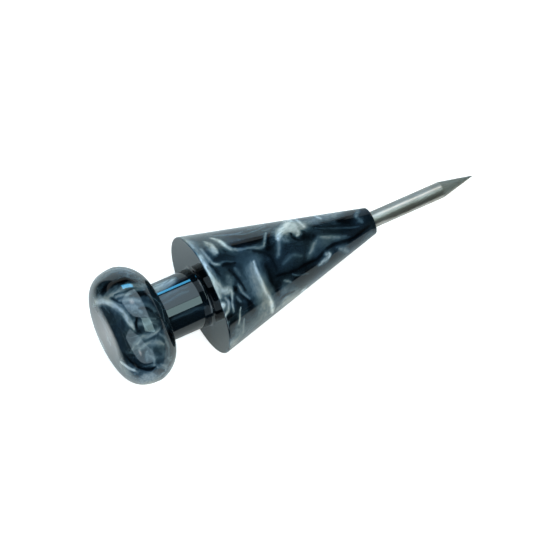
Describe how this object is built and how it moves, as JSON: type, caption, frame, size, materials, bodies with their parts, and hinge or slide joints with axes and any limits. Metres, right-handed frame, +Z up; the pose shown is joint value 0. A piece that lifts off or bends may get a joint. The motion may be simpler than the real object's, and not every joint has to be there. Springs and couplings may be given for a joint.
{
  "type": "hand awl",
  "caption": "Push-pin shaped hand awl for scratching, piercing and pricking leather: marbled resin knob, neck and cone on a glued-in round steel pin with a conical point.",
  "frame": {"origin": "on the bench under the middle of the awl's box, the awl lying on the rim of the cone's back face and on its tip", "axes": "+X from the knob towards the tip along the bench, +Z up, the awl symmetric about Y = 0. The awl's own axis dips 11.4 degrees below +X towards the tip"},
  "size_m": [0.1164, 0.0354, 0.0388],
  "materials": {
    "marbled_resin": "polished acrylic resin, blue-black with silvery pearl swirls",
    "dark_resin": "polished acrylic resin, plain blue-black",
    "ground_steel": "ground round bar, satin shank and matte ground point",
    "epoxy": "cured clear epoxy, hidden inside the joints"
  },
  "bodies": {
    "root": {"knob": "marbled_resin", "neck": "dark_resin", "cone_body": "marbled_resin", "steel_pin": "ground_steel", "knob_epoxy": "epoxy", "cone_epoxy": "epoxy", "pin_epoxy": "epoxy"}
  },
  "joints": []
}
